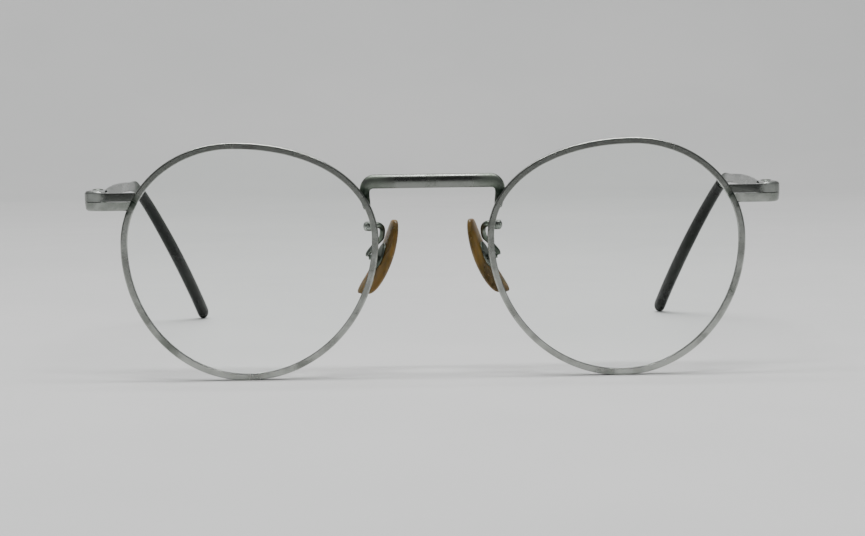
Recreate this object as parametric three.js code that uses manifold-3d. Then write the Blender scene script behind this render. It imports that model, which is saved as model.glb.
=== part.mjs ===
// Round wire eyeglasses with a saddle bridge, split endpieces, rocking nose pads and folding temples.
// Millimetres. +X is the wearer's left, the lenses face -Y, the temples run back along +Y, +Z is up.
// The glasses stand on the two rim bottoms and the two temple tips, at z = 0.

import * as THREE from 'three';
import { mergeVertices } from 'three/addons/utils/BufferGeometryUtils.js';
import Module from 'manifold-3d';

const wasm = await Module();
wasm.setup();

// ---- driving dimensions ----

const lensWidth = 46.3;          // rim centreline, side to side
const lensHeight = 42.7;         // rim centreline, bottom to top
const betweenLenses = 21.3;      // rim centreline to rim centreline across the nose
const templeSideHeight = 3.3;    // widest point towards the temple, above the lens centre
const noseSideHeight = 4.0;      // widest point towards the nose, above the lens centre
const topShift = 3.1;            // highest point, towards the temple from the lens centre
const bottomShift = 0.7;         // lowest point, towards the temple from the lens centre
const roundness = 0.5523;        // cubic handle length that makes a quarter circle
const topHandle = 1.1;           // how much flatter than a circle the top runs towards the nose

const wireFace = 1.2;            // rim wire, seen from the front
const wireDepth = 1.9;           // rim wire, front to back
const grooveDepth = 0.42;
const grooveHalfWidth = 0.4;
const restFlat = 0.05;           // how deep the worn flat under each rim is
const seamGap = 0.4;             // slit between the two ends of a rim
const solderGap = 0.05;

const seamZ = 33.3;              // where each endpiece splits into two halves
const panelTop = 34.9;
const blockTop = 35.35;
const endpieceBottom = 31.6;
const endpieceFront = -1.25;
const endpieceBack = 0.65;
const endpieceOuter = 64.2;
const cornerRadius = 3.3;

const hingeX = 62.3;
const hingeY = 5.9;
const leafRadius = 1.9;
const knuckleRadius = 1.8;
const knuckleBottom = 32.45;
const knuckleTop = 33.95;
const screwRadius = 0.55;
const screwHeadRadius = 1.05;
const runningGap = 0.05;         // between a screw and its hole
const leafGap = 0.1;             // between the knuckle and the leaves above and below it

const templeStart = hingeY + 2.2;
const templeEnd = 92.4;
const templeThickness = 1.2;
const templeBow = 3.7;           // how far the temple leans outwards from hinge to bend
const sleeveStart = 0.17;        // fraction of the bend and tip that is bare metal
const tangEnd = 0.38;            // fraction that the metal core inside the tip reaches
const bendHalfWidth = 0.8;       // bare metal round the bend
const bendHalfHeight = 1.15;
const tangRadius = 0.55;
const tipHalfWidth = 1.25;
const tipHalfHeight = 1.6;

const bridgeBarZ = 36.35;
const bridgeBarHalf = 12.5;      // leg centre from the middle
const bridgeBarHeight = 2.6;
const bridgeBarDepth = 1.5;
const bridgeLegWidth = 1.7;
const bridgeLegDepth = 1.4;
const bridgeCorner = 3.0;
const bridgeFootZ = 31.3;

const padX = 9.05;               // pad centre from the middle
const padY = 5.2;
const padZ = 22.1;
const padHalfThickness = 1.0;
const padHalfWidth = 3.2;
const padHalfHeight = 6.9;
const padLean = -0.43;           // sideways per unit of height: the tops lean towards the nose
const padCurl = 0.0223;          // sideways per height squared: the ends curl outwards
const padSplay = 0.42;           // sideways per unit of depth: the back edges stand further apart
const padTwist = -0.035;         // change of the splay with height: the lower ends open wider
const padBluntness = 0.78;       // 1 gives pointed oval ends, less gives blunter ones
const padTaper = 0.1;            // how much wider the lower half is than the upper half
const pinX = 11.2;               // pad pivot
const pinRadius = 0.2;
const lugRadius = 0.42;
const armZ = 28.0;               // where a pad arm is soldered to its rim

// ---- what follows from them ----

const lensX = betweenLenses / 2 + lensWidth / 2;
const lensZ = lensHeight / 2 + wireFace / 2 - restFlat;
const rimBack = wireDepth / 2;

// ---- solids: three.js makes the shapes, manifold-3d joins and cuts them ----

function toSolid(geometry) {
  const bare = geometry.clone();
  for (const name of Object.keys(bare.attributes)) {
    if (name !== 'position') bare.deleteAttribute(name);
  }
  const welded = mergeVertices(bare, 1e-4);
  const index = welded.index.array;
  const kept = [];
  for (let i = 0; i < index.length; i += 3) {
    const [a, b, c] = [index[i], index[i + 1], index[i + 2]];
    if (a !== b && b !== c && c !== a) kept.push(a, b, c);
  }
  return new wasm.Manifold(new wasm.Mesh({
    numProp: 3,
    vertProperties: new Float32Array(welded.attributes.position.array),
    triVerts: new Uint32Array(kept),
  }));
}

function toGeometry(solid) {
  const mesh = solid.getMesh();
  const geometry = new THREE.BufferGeometry();
  geometry.setAttribute('position', new THREE.BufferAttribute(new Float32Array(mesh.vertProperties), 3));
  geometry.setIndex(new THREE.BufferAttribute(new Uint32Array(mesh.triVerts), 1));
  return geometry;
}

function box(low, high) {
  const size = high.map((value, axis) => value - low[axis]);
  const centre = high.map((value, axis) => (value + low[axis]) / 2);
  return toSolid(new THREE.BoxGeometry(...size).translate(...centre));
}

// An upright cylinder from zLow to zHigh.
function post(x, y, zLow, zHigh, radius, sides = 24) {
  const shape = new THREE.CylinderGeometry(radius, radius, zHigh - zLow, sides);
  return toSolid(shape.rotateX(Math.PI / 2).translate(x, y, (zLow + zHigh) / 2));
}

// A plan outline, drawn in x and y, raised from zLow to zHigh.
function slab(outline, zLow, zHigh) {
  const options = { depth: zHigh - zLow, bevelEnabled: false, curveSegments: 10 };
  return toSolid(new THREE.ExtrudeGeometry(outline, options).translate(0, 0, zLow));
}

function ovalShape(halfWidth, halfHeight) {
  const shape = new THREE.Shape();
  shape.absellipse(0, 0, halfWidth, halfHeight, 0, Math.PI * 2);
  return shape;
}

function sweep(shape, path, steps, curveSegments = 6) {
  const options = { steps, curveSegments, bevelEnabled: false, extrudePath: path };
  return toSolid(new THREE.ExtrudeGeometry(shape, options));
}

function moveVertices(geometry, change) {
  const position = geometry.attributes.position;
  const point = new THREE.Vector3();
  for (let i = 0; i < position.count; i += 1) {
    point.fromBufferAttribute(position, i);
    change(point);
    position.setXYZ(i, point.x, point.y, point.z);
  }
  return geometry;
}

// The same piece for the other side of the face.
function mirrored(geometry) {
  const copy = geometry.clone().scale(-1, 1, 1);
  const index = copy.index.array;
  for (let i = 0; i < index.length; i += 3) {
    [index[i], index[i + 1]] = [index[i + 1], index[i]];
  }
  return copy;
}

// ---- the rim outline ----

// Four cubic curves through the widest, highest and lowest points, counter-clockwise from the front,
// starting at the widest point on the temple side. Offsets grow the outline outwards.
function rimOutline(offset = 0) {
  const halfWidth = lensWidth / 2 + offset;
  const halfHeight = lensHeight / 2 + offset;
  const outer = new THREE.Vector3(lensX + halfWidth, 0, lensZ + templeSideHeight);
  const top = new THREE.Vector3(lensX + topShift, 0, lensZ + halfHeight);
  const inner = new THREE.Vector3(lensX - halfWidth, 0, lensZ + noseSideHeight);
  const bottom = new THREE.Vector3(lensX + bottomShift, 0, lensZ - halfHeight);
  const corner = (side, level, sideStretch = 1) => {
    const rise = (level.z - side.z) * roundness;
    const run = (side.x - level.x) * roundness * sideStretch;
    return [
      new THREE.Vector3(side.x, 0, side.z + rise),
      new THREE.Vector3(level.x + run, 0, level.z),
    ];
  };
  const [outerUp, topOut] = corner(outer, top);
  const [innerUp, topIn] = corner(inner, top, topHandle);
  const [innerDown, bottomIn] = corner(inner, bottom);
  const [outerDown, bottomOut] = corner(outer, bottom);
  return [
    new THREE.CubicBezierCurve3(outer, outerUp, topOut, top),
    new THREE.CubicBezierCurve3(top, topIn, innerUp, inner),
    new THREE.CubicBezierCurve3(inner, innerDown, bottomIn, bottom),
    new THREE.CubicBezierCurve3(bottom, bottomOut, outerDown, outer),
  ];
}

// The rim as one open path, from just above the endpiece seam round to just below it.
class RimPath extends THREE.Curve {
  constructor(gap, seam = seamZ) {
    super();
    this.quarters = rimOutline();
    this.start = this.turnAt(seam + gap / 2);
    this.end = this.turnAt(seam - gap / 2) + 4;
  }

  // How far round the outline, in quarters, the first quarter reaches a height.
  turnAt(z) {
    let [low, high] = [0, 1];
    for (let step = 0; step < 40; step += 1) {
      const middle = (low + high) / 2;
      if (this.quarters[0].getPoint(middle).z < z) low = middle;
      else high = middle;
    }
    return low;
  }

  getPoint(t, target = new THREE.Vector3()) {
    const turn = this.start + (this.end - this.start) * t;
    const quarter = Math.floor(turn);
    return this.quarters[quarter % 4].getPoint(turn - quarter, target);
  }
}

// On this path a section's x runs to the front and its y runs outwards from the lens.
function rimSection() {
  const face = wireFace / 2;
  const depth = wireDepth / 2;
  const section = new THREE.Shape();
  section.moveTo(-depth * 0.5, face);
  section.lineTo(depth * 0.5, face);
  section.quadraticCurveTo(depth, face, depth, face * 0.3);
  section.lineTo(depth, -face * 0.6);
  section.lineTo(depth * 0.75, -face);
  section.lineTo(grooveHalfWidth, -face);
  section.lineTo(0, -face + grooveDepth);
  section.lineTo(-grooveHalfWidth, -face);
  section.lineTo(-depth * 0.75, -face);
  section.lineTo(-depth, -face * 0.6);
  section.lineTo(-depth, face * 0.3);
  section.quadraticCurveTo(-depth, face, -depth * 0.5, face);
  return section;
}

function rectangleShape(xLow, xHigh, yLow, yHigh) {
  const shape = new THREE.Shape();
  shape.moveTo(xLow, yLow);
  shape.lineTo(xHigh, yLow);
  shape.lineTo(xHigh, yHigh);
  shape.lineTo(xLow, yHigh);
  shape.closePath();
  return shape;
}

// ---- the pieces, each on the wearer's left ----

function rim() {
  const wire = sweep(rimSection(), new RimPath(seamGap), 60, 2);
  const aboveTable = box([0, -5, 0], [80, 5, 60]);
  return wire.intersect(aboveTable);
}

// A closed meniscus, thinner than the rim, cut to the outline with a bevel that sits in the groove.
function lens() {
  const bowl = 120;
  const thickness = 1.5;
  const reach = 27;
  const rings = 4;
  const sag = (r) => bowl - Math.sqrt(bowl * bowl - r * r);
  const edgeSag = sag(lensWidth / 2 - 1.2);
  const profile = [];
  for (let ring = 0; ring <= rings; ring += 1) {
    const r = (reach * ring) / rings;
    profile.push(new THREE.Vector2(r, sag(r) - edgeSag - thickness / 2));
  }
  for (let ring = rings; ring >= 0; ring -= 1) {
    const r = (reach * ring) / rings;
    profile.push(new THREE.Vector2(r, sag(r) - edgeSag + thickness / 2));
  }
  const blank = toSolid(new THREE.LatheGeometry(profile, 32).translate(lensX, 0, lensZ));
  const edge = (offset) => {
    const outline = new THREE.Shape();
    rimOutline(offset).forEach((quarter, turn) => {
      const [from, first, second, to] = [quarter.v0, quarter.v1, quarter.v2, quarter.v3];
      if (turn === 0) outline.moveTo(from.x, from.z);
      outline.bezierCurveTo(first.x, first.z, second.x, second.z, to.x, to.z);
    });
    return outline;
  };
  const disc = (offset, halfDepth) => {
    const options = { depth: halfDepth * 2, bevelEnabled: false, curveSegments: 15 };
    const flat = new THREE.ExtrudeGeometry(edge(offset), options);
    return toSolid(flat.translate(0, 0, -halfDepth).rotateX(Math.PI / 2));
  };
  const face = wireFace / 2;
  const plain = disc(-face - 0.08, 5);
  const bevel = disc(-face + grooveDepth * 0.5, 0.12);
  return blank.intersect(plain).add(bevel.intersect(blank));
}

function bridge() {
  const legY = rimBack + solderGap + bridgeLegDepth / 2;
  const barY = -0.2;
  const corner = new THREE.CurvePath();
  const foot = new THREE.Vector3(bridgeBarHalf - 0.3, legY, bridgeFootZ);
  const knee = new THREE.Vector3(bridgeBarHalf, barY + 0.5, bridgeBarZ - bridgeCorner);
  const turn = new THREE.Vector3(bridgeBarHalf, barY, bridgeBarZ);
  const barEnd = new THREE.Vector3(bridgeBarHalf - bridgeCorner, barY, bridgeBarZ);
  const acrossX = (point) => new THREE.Vector3(-point.x, point.y, point.z);
  const legBend = new THREE.Vector3(bridgeBarHalf - 0.1, legY, bridgeBarZ - bridgeCorner - 1.3);
  corner.add(new THREE.QuadraticBezierCurve3(foot, legBend, knee));
  corner.add(new THREE.QuadraticBezierCurve3(knee, turn, barEnd));
  corner.add(new THREE.LineCurve3(barEnd, acrossX(barEnd)));
  corner.add(new THREE.QuadraticBezierCurve3(acrossX(barEnd), acrossX(turn), acrossX(knee)));
  corner.add(new THREE.QuadraticBezierCurve3(acrossX(knee), acrossX(legBend), acrossX(foot)));
  const wire = sweep(ovalShape(bridgeLegDepth / 2, bridgeLegWidth / 2), corner, 44, 4);
  const barRadius = bridgeBarHeight / 2;
  const barLength = 2 * (bridgeBarHalf + bridgeLegWidth / 2 - barRadius) - 1.8;
  const bar = new THREE.CapsuleGeometry(barRadius, barLength, 4, 14).rotateZ(Math.PI / 2);
  bar.scale(1, bridgeBarDepth / bridgeBarHeight, 1).translate(0, barY, bridgeBarZ);
  return wire.add(toSolid(bar)).subtract(rimEnvelope(0)).subtract(mirrorSolid(rimEnvelope(0)));
}

// Everything within a hair of the rim wire, and on request the lens side of it.
function rimEnvelope(lensSide) {
  const face = wireFace / 2 + solderGap;
  const depth = wireDepth / 2 + solderGap;
  return sweep(rectangleShape(-depth, depth, -face - lensSide, face), new RimPath(0.001), 60);
}

function mirrorSolid(solid) {
  return toSolid(mirrored(toGeometry(solid)));
}

// The plan of an endpiece: a flat front panel, a rounded corner and a leg back to the hinge.
function endpiecePlan() {
  const plan = new THREE.Shape();
  const legInner = hingeX - leafRadius;
  plan.moveTo(54.6, endpieceFront);
  plan.lineTo(endpieceOuter - cornerRadius, endpieceFront);
  const cornerY = endpieceFront + cornerRadius;
  plan.absarc(endpieceOuter - cornerRadius, cornerY, cornerRadius, -Math.PI / 2, 0, false);
  plan.absarc(hingeX, hingeY, leafRadius, 0, Math.PI, false);
  plan.lineTo(legInner, endpieceBack + 0.8);
  plan.quadraticCurveTo(legInner, endpieceBack, legInner - 0.8, endpieceBack);
  plan.lineTo(54.6, endpieceBack);
  plan.closePath();
  return plan;
}

function hingeSlot() {
  const low = knuckleBottom - leafGap;
  const high = knuckleTop + leafGap;
  const room = post(hingeX, hingeY, low, high, leafRadius + 0.35, 32);
  const inward = box([hingeX - 6, hingeY - 0.9, low], [hingeX, hingeY + 4, high]);
  return room.add(inward);
}

function endpieceUpper() {
  const plan = endpiecePlan();
  const half = slab(plan, seamZ + 0.05, blockTop);
  const step = box([50, -5, panelTop], [endpieceOuter - cornerRadius, 5, 40]);
  const hole = post(hingeX, hingeY, 30, 40, screwRadius + runningGap);
  const seat = post(hingeX, hingeY, blockTop - 0.35, 40, screwHeadRadius + runningGap);
  return half.subtract(step).subtract(rimEnvelope(4)).subtract(hingeSlot()).subtract(hole).subtract(seat);
}

function endpieceLower() {
  const half = slab(endpiecePlan(), endpieceBottom, seamZ - 0.05);
  const hole = post(hingeX, hingeY, 30, 40, screwRadius + runningGap);
  return half.subtract(rimEnvelope(4)).subtract(hingeSlot()).subtract(hole);
}

function hingeScrew() {
  const shaft = post(hingeX, hingeY, endpieceBottom + 0.05, blockTop - 0.1, screwRadius);
  const head = post(hingeX, hingeY, blockTop - 0.3, blockTop + 0.15, screwHeadRadius);
  const slot = box([hingeX - 2, hingeY - 0.15, blockTop - 0.05], [hingeX + 2, hingeY + 0.15, blockTop + 1]);
  return shaft.add(head).subtract(slot);
}

function tipPath() {
  return new THREE.CubicBezierCurve3(
    new THREE.Vector3(hingeX + templeBow, templeEnd, 32.85),
    new THREE.Vector3(hingeX + templeBow + 0.2, templeEnd + 6, 33.25),
    new THREE.Vector3(59.2, 110.5, 18.5),
    new THREE.Vector3(54.6, 127.6, tipHalfHeight),
  );
}

// The stretch of the bend and tip between two fractions of its whole path.
class TipStretch extends THREE.Curve {
  constructor(from, to) {
    super();
    this.whole = tipPath();
    this.from = from;
    this.to = to;
  }

  getPoint(t, target = new THREE.Vector3()) {
    return this.whole.getPoint(this.from + t * (this.to - this.from), target);
  }
}

// Side profile drawn as y along and z up, then given its thickness and its outward lean.
function temple() {
  const profile = new THREE.Shape();
  const middle = (templeStart + templeEnd) / 2;
  profile.moveTo(templeStart, knuckleBottom);
  profile.quadraticCurveTo(middle, 33.1, templeEnd - 0.1, 31.95);
  profile.lineTo(templeEnd - 0.1, 33.75);
  profile.quadraticCurveTo(middle, 35.7, templeStart, knuckleTop);
  profile.closePath();
  const bevel = 0.25;
  const options = {
    depth: templeThickness - 2 * bevel,
    bevelEnabled: true,
    bevelThickness: bevel,
    bevelSize: bevel,
    bevelOffset: -bevel,
    bevelSegments: 1,
    curveSegments: 12,
  };
  const flat = new THREE.ExtrudeGeometry(profile, options);
  const bar = moveVertices(flat, (point) => {
    const along = Math.max(0, (point.x - templeStart) / (templeEnd - templeStart));
    const outward = templeBow * Math.sin((Math.min(along, 1) * Math.PI) / 2);
    const across = point.z - templeThickness / 2 + bevel;
    point.set(hingeX + across + outward, point.x, point.y);
  });
  const neckHalf = 0.6;
  const neckLow = [hingeX - neckHalf, hingeY, knuckleBottom];
  const neckHigh = [hingeX + neckHalf, templeStart + 1, knuckleTop];
  const neck = box(neckLow, neckHigh);
  const knuckle = post(hingeX, hingeY, knuckleBottom, knuckleTop, knuckleRadius);
  const hole = post(hingeX, hingeY, 30, 40, screwRadius + runningGap);
  const bend = sweep(ovalShape(bendHalfWidth, bendHalfHeight), new TipStretch(-0.02, sleeveStart), 8, 4);
  const core = sweep(ovalShape(tangRadius, tangRadius), new TipStretch(sleeveStart - 0.02, tangEnd), 8, 3);
  return toSolid(bar).add(neck).add(knuckle).add(bend).add(core).subtract(hole);
}

function templeTip() {
  const path = tipPath();
  const sleeve = sweep(ovalShape(tipHalfWidth, tipHalfHeight), new TipStretch(sleeveStart, 1), 18, 4);
  const end = new THREE.SphereGeometry(tipHalfHeight, 14, 10).rotateX(Math.PI / 2);
  end.scale(tipHalfWidth / tipHalfHeight, 1, 1).translate(path.v3.x, path.v3.y, path.v3.z);
  const room = tangRadius + 0.1;
  const socket = sweep(ovalShape(room, room), new TipStretch(sleeveStart - 0.02, tangEnd + 0.01), 8, 3);
  return sleeve.add(toSolid(end)).subtract(socket);
}

// Carries a point from the pad's own upright frame to where the pad sits against the nose.
function placeOnPad(point) {
  const height = point.z;
  const splay = padSplay + padTwist * height;
  const sideways = padLean * height + padCurl * height * height + splay * point.y;
  point.set(padX + point.x + sideways, padY + point.y, padZ + height);
}

// A ball drawn out into a bean that is blunt at both ends and a little wider towards the bottom.
function nosePad() {
  const bean = moveVertices(new THREE.SphereGeometry(1, 20, 14).rotateX(Math.PI / 2), (point) => {
    const around = Math.max(0.05, Math.hypot(point.x, point.y));
    const swell = around ** (padBluntness - 1);
    point.x *= swell;
    point.y *= swell * (1 - padTaper * point.z);
  });
  bean.scale(padHalfThickness, padHalfWidth, padHalfHeight);
  return toSolid(moveVertices(bean, placeOnPad));
}

function alongY(x, y, z, radius, length, sides = 16) {
  return toSolid(new THREE.CylinderGeometry(radius, radius, length, sides).translate(x, y, z));
}

function padPlate() {
  const plate = new THREE.CylinderGeometry(1, 1, 0.25, 16, 2).rotateZ(Math.PI / 2).scale(1, 1.5, 2.6);
  plate.translate(padHalfThickness + 0.155, 0, 0);
  const lug = alongY(pinX, padY, padZ, lugRadius, 0.8);
  const stemLow = [padX + padHalfThickness + 0.15, padY - 0.4, padZ - 0.35];
  const stem = box(stemLow, [pinX, padY + 0.4, padZ + 0.35]);
  const hole = alongY(pinX, padY, padZ, pinRadius + runningGap, 3);
  return toSolid(moveVertices(plate, placeOnPad)).add(lug).add(stem).subtract(hole);
}

function padPin() {
  return alongY(pinX, padY, padZ, pinRadius, 1.8);
}

// A stub soldered behind the rim, a hook towards the nose, and a claw that holds the pad's lug.
function padArm() {
  const stubY = rimBack + solderGap + 0.9;
  const stub = new THREE.CylinderGeometry(0.9, 0.9, 2.2, 16).rotateZ(Math.PI / 2);
  stub.translate(11.8, stubY, armZ);
  const route = new THREE.CatmullRomCurve3([
    new THREE.Vector3(11.6, stubY, armZ),
    new THREE.Vector3(10.2, stubY + 0.2, armZ + 0.2),
    new THREE.Vector3(9.4, 3.4, armZ - 0.5),
    new THREE.Vector3(9.5, 4.6, armZ - 2.2),
    new THREE.Vector3(10.35, padY - 0.1, padZ + 2.7),
    new THREE.Vector3(pinX + 0.5, padY, padZ + 0.5),
  ]);
  const wire = sweep(ovalShape(0.5, 0.6), route, 18, 3);
  const claw = box([pinX - 0.3, padY - 0.75, padZ - 0.45], [pinX + 0.85, padY + 0.75, padZ + 0.45]);
  const room = box([pinX - 2, padY - 0.45, padZ - 2], [pinX + 0.5, padY + 0.45, padZ + 0.9]);
  const hole = alongY(pinX, padY, padZ, pinRadius + runningGap, 4);
  return toSolid(stub).add(wire).add(claw).subtract(room).subtract(hole);
}

// ---- materials ----

function metal(color, roughness) {
  return new THREE.MeshStandardMaterial({ color, roughness, metalness: 1 });
}

const silver = metal(0xb9bcb6, 0.3);
const polished = metal(0xc2c5c0, 0.2);
const wornSilver = metal(0xa9ada6, 0.38);
const tarnished = metal(0x7c877b, 0.45);
const clearGlass = new THREE.MeshStandardMaterial({
  color: 0xeef2f0, roughness: 0.04, metalness: 0, transparent: true, opacity: 0.2,
});
const darkPlastic = new THREE.MeshStandardMaterial({ color: 0x1c201c, roughness: 0.25, metalness: 0 });
const amberPlastic = new THREE.MeshStandardMaterial({ color: 0xa0682a, roughness: 0.3, metalness: 0 });

// ---- the glasses ----

const glasses = new THREE.Group();

function addPiece(name, geometry, material) {
  geometry.computeVertexNormals();
  const mesh = new THREE.Mesh(geometry, material);
  mesh.name = name;
  glasses.add(mesh);
}

function addPair(name, solid, material) {
  const geometry = toGeometry(solid);
  addPiece(`${name}_left`, geometry, material);
  addPiece(`${name}_right`, mirrored(geometry), material);
}

addPair('rim', rim(), silver);
addPair('lens', lens(), clearGlass);
addPiece('bridge', toGeometry(bridge()), polished);
addPair('endpiece_upper', endpieceUpper(), polished);
addPair('endpiece_lower', endpieceLower(), wornSilver);
addPair('hinge_screw', hingeScrew(), wornSilver);
addPair('temple', temple(), silver);
addPair('temple_tip', templeTip(), darkPlastic);
addPair('pad_arm', padArm(), tarnished);
addPair('pad_plate', padPlate(), tarnished);
addPair('pad_pin', padPin(), wornSilver);
addPair('nose_pad', nosePad(), amberPlastic);

// The origin is the middle of the footprint, on the table.
const extent = new THREE.Box3().setFromObject(glasses);
const middleY = (extent.min.y + extent.max.y) / 2;
for (const mesh of glasses.children) {
  mesh.position.set(0, -middleY, 0);
}

export default glasses;
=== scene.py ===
"""Round wire eyeglasses on a pale table: smooth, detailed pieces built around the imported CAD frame.

Blender 4.5. Lengths below are in millimetres in the CAD frame and become metres through MM.
The left piece of each pair is built first, and the right one is its mirror image.
"""

import math

import bmesh
import bpy
from mathutils import Matrix, Vector


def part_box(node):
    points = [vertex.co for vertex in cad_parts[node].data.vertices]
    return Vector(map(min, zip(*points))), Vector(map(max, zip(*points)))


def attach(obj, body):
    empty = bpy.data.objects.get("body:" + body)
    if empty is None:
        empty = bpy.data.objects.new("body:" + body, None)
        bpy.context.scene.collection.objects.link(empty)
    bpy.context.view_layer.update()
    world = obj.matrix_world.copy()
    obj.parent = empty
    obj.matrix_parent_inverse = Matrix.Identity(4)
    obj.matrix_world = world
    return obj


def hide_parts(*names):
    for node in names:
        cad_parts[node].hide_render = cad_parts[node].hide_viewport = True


MM = 0.001

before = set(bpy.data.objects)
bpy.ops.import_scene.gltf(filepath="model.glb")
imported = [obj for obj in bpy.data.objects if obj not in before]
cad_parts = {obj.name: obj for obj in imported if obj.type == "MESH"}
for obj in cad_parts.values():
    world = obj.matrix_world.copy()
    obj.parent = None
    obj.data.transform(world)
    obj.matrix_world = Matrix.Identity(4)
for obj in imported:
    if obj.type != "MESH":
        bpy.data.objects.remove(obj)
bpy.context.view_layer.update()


# ---- places read from the frame, and driving dimensions, in millimetres ----


def node_box(node):
    low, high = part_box(node)
    return low / MM, high / MM


RIM_LOW, RIM_HIGH = node_box("rim_left")
BRIDGE_LOW, BRIDGE_HIGH = node_box("bridge")
SCREW_LOW, SCREW_HIGH = node_box("hinge_screw_left")
TIP_LOW, _ = node_box("temple_tip_left")
PAD_LOW, PAD_HIGH = node_box("nose_pad_left")
_, ARM_HIGH = node_box("pad_arm_left")
PIN_LOW, PIN_HIGH = node_box("pad_pin_left")

WIRE_FACE = 1.2
WIRE_DEPTH = RIM_HIGH.y - RIM_LOW.y
REST_FLAT = 0.05
FRONT_Y = (RIM_LOW.y + RIM_HIGH.y) / 2
RIM_BACK = RIM_HIGH.y
SEAM_Z = 33.3
SEAM_GAP = 0.12

LENS_X = (RIM_LOW.x + RIM_HIGH.x) / 2
LENS_HALF_WIDTH = (RIM_HIGH.x - RIM_LOW.x - WIRE_FACE) / 2
LENS_BOTTOM = RIM_LOW.z + WIRE_FACE / 2 - REST_FLAT
LENS_TOP = RIM_HIGH.z - WIRE_FACE / 2
LENS_Z = (LENS_BOTTOM + LENS_TOP) / 2
TEMPLE_SIDE_HEIGHT = 3.3
NOSE_SIDE_HEIGHT = 4.0
TOP_SHIFT = 3.1
BOTTOM_SHIFT = 0.7
ROUNDNESS = 0.5523
TOP_HANDLE = 1.1

UPPER_LOW, UPPER_HIGH = node_box("endpiece_upper_left")
LOWER_LOW, LOWER_HIGH = node_box("endpiece_lower_left")
PANEL_TOP = 34.9
PANEL_FRONT = UPPER_LOW.y
PANEL_BACK = PANEL_FRONT + 1.9
CORNER_RADIUS = 3.3
LEAF_RADIUS = 1.9
SCREW_RADIUS = 0.55
SCREW_HEAD_RADIUS = 1.05
RUNNING_GAP = 0.05

BAR_HALF_HEIGHT = 1.3
LEG_HALF_WIDTH = 0.86

HINGE = (SCREW_LOW + SCREW_HIGH) / 2
PIN = (PIN_LOW + PIN_HIGH) / 2
PIN_RADIUS = 0.2
LUG_RADIUS = 0.42
PAD = Vector((9.05, FRONT_Y + 5.2, (PAD_LOW.z + PAD_HIGH.z) / 2))
PAD_LEAN = -0.43
PAD_CURL = 0.0223
PAD_SPLAY = 0.42
PAD_TWIST = -0.035
STUB_RADIUS = 0.9
STUB_Y = RIM_BACK + 0.95
STUB_Z = ARM_HIGH.z - STUB_RADIUS

TEMPLE_START = HINGE.y + 2.2
TEMPLE_END = FRONT_Y + 92.4
TEMPLE_BOW = 3.7
KNUCKLE_LOW = 32.45
KNUCKLE_HIGH = 33.95
SLEEVE_START = 0.17
BEND_HALF_WIDTH = 0.8
BEND_HALF_HEIGHT = 1.25

CAMERA_PLACE = Vector((-2.06, FRONT_Y - 432.6, 50.8))
CAMERA_YAW = math.radians(-0.25)
CAMERA_PITCH = math.radians(-4.042)
CAMERA_ROLL = math.radians(0.82)
CAMERA_LENS = 97.85

ROOM_DARK_SIDE = (0.0, -1.0, 0.08)
ROOM_DARK = 0.05
ROOM_LIGHT = 0.26
ROOM_FADE = (0.5, 0.9)


# ---- mesh building ----


class Shell:
    """Collects the faces of one piece, in millimetres, and turns them into a Blender object."""

    def __init__(self):
        self.mesh = bmesh.new()

    def rings(self, rings, closed=False):
        """Joins rings of points, each as long as the next, and caps the ends unless they close up."""
        rows = [[self.mesh.verts.new(point) for point in ring] for ring in rings]
        pairs = list(zip(rows, rows[1:]))
        if closed:
            pairs.append((rows[-1], rows[0]))
        for one, two in pairs:
            count = len(one)
            for i in range(count):
                j = (i + 1) % count
                self.mesh.faces.new((one[i], one[j], two[j], two[i]))
        if not closed:
            self.mesh.faces.new(list(reversed(rows[0])))
            self.mesh.faces.new(rows[-1])

    def box(self, low, high, bevel=0.0):
        made = bmesh.ops.create_cube(self.mesh, size=1.0)
        size = Vector(high) - Vector(low)
        middle = (Vector(high) + Vector(low)) / 2
        for vert in made["verts"]:
            vert.co = Vector(a * b for a, b in zip(vert.co, size)) + middle
        if bevel:
            edges = {edge for vert in made["verts"] for edge in vert.link_edges}
            bmesh.ops.bevel(
                self.mesh, geom=list(edges), offset=bevel, segments=3, affect="EDGES", profile=0.5
            )

    def finish(self, name, sharp_degrees=40):
        bmesh.ops.recalc_face_normals(self.mesh, faces=self.mesh.faces)
        bmesh.ops.scale(self.mesh, vec=(MM, MM, MM), verts=self.mesh.verts)
        data = bpy.data.meshes.new(name)
        self.mesh.to_mesh(data)
        self.mesh.free()
        return link(name, data, sharp_degrees)


def link(name, data, sharp_degrees=40):
    for face in data.polygons:
        face.use_smooth = True
    data.set_sharp_from_angle(angle=math.radians(sharp_degrees))
    piece = bpy.data.objects.new(name, data)
    bpy.context.scene.collection.objects.link(piece)
    return piece


def mirrored(piece, name):
    """The same mesh on the other side of the face, with its faces turned the right way again."""
    data = piece.data.copy()
    data.name = name
    data.transform(Matrix.Diagonal((-1, 1, 1, 1)))
    data.flip_normals()
    copy = bpy.data.objects.new(name, data)
    bpy.context.scene.collection.objects.link(copy)
    return copy


def smooth_step(value):
    """0 below 0, 1 above 1, and an even S between them."""
    value = min(max(value, 0.0), 1.0)
    return value * value * (3 - 2 * value)


def bezier(a, b, c, d):
    def at(t):
        s = 1 - t
        return a * s**3 + b * (3 * s * s * t) + c * (3 * s * t * t) + d * t**3

    return at


def smooth_route(points):
    """A Catmull-Rom curve through a few points."""
    per_span = 14
    ends = [points[0] * 2 - points[1], *points, points[-1] * 2 - points[-2]]
    route = []
    for before, start, stop, after in zip(ends, ends[1:], ends[2:], ends[3:]):
        for step in range(per_span):
            t = step / per_span
            route.append(
                0.5
                * (
                    2 * start
                    + (stop - before) * t
                    + (2 * before - 5 * start + 4 * stop - after) * t * t
                    + (3 * start - before - 3 * stop + after) * t**3
                )
            )
    route.append(points[-1].copy())
    return route


def along(route):
    """How far along a route each of its points is."""
    far = [0.0]
    for one, two in zip(route, route[1:]):
        far.append(far[-1] + (two - one).length)
    return far


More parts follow.
